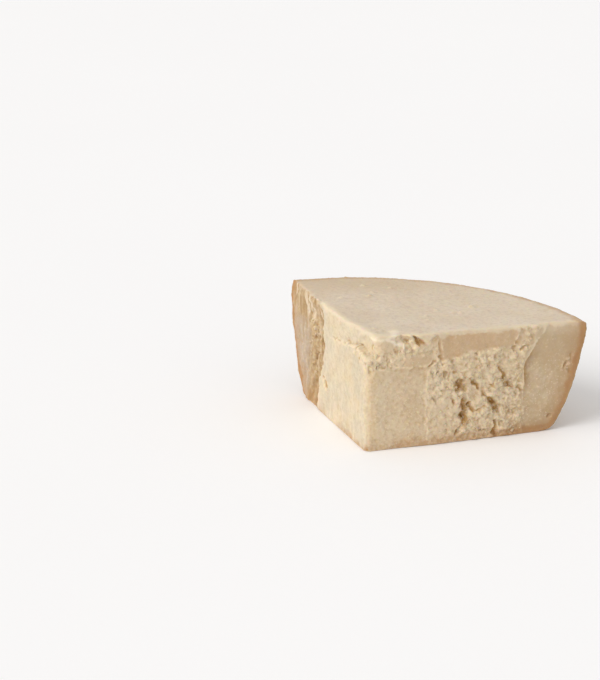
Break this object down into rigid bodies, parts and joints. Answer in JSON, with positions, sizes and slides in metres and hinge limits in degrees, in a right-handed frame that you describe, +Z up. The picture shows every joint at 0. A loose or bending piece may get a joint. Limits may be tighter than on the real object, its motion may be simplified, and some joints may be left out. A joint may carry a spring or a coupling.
{
  "type": "hard cheese chunk",
  "caption": "Wedge of aged hard cheese cracked from a wheel: quarter-turn chunk with wire-cut top, crumbly broken sides with smooth blade marks, and a barrelled rind heel.",
  "frame": {"origin": "middle of the bounding box, on the base that it stands on", "axes": "+Z up from the base; the broken side that faces the viewer runs along +X from the tip, the other broken side along +Y"},
  "size_m": [0.2116, 0.198, 0.1082],
  "materials": {
    "cheese": "pale straw paste, grainy and crumbly where it was cracked, smooth where a knife or wire cut it, with a thin golden-brown rind on the heel and the base"
  },
  "bodies": {
    "root": {"cheese_chunk": "cheese"}
  },
  "joints": []
}
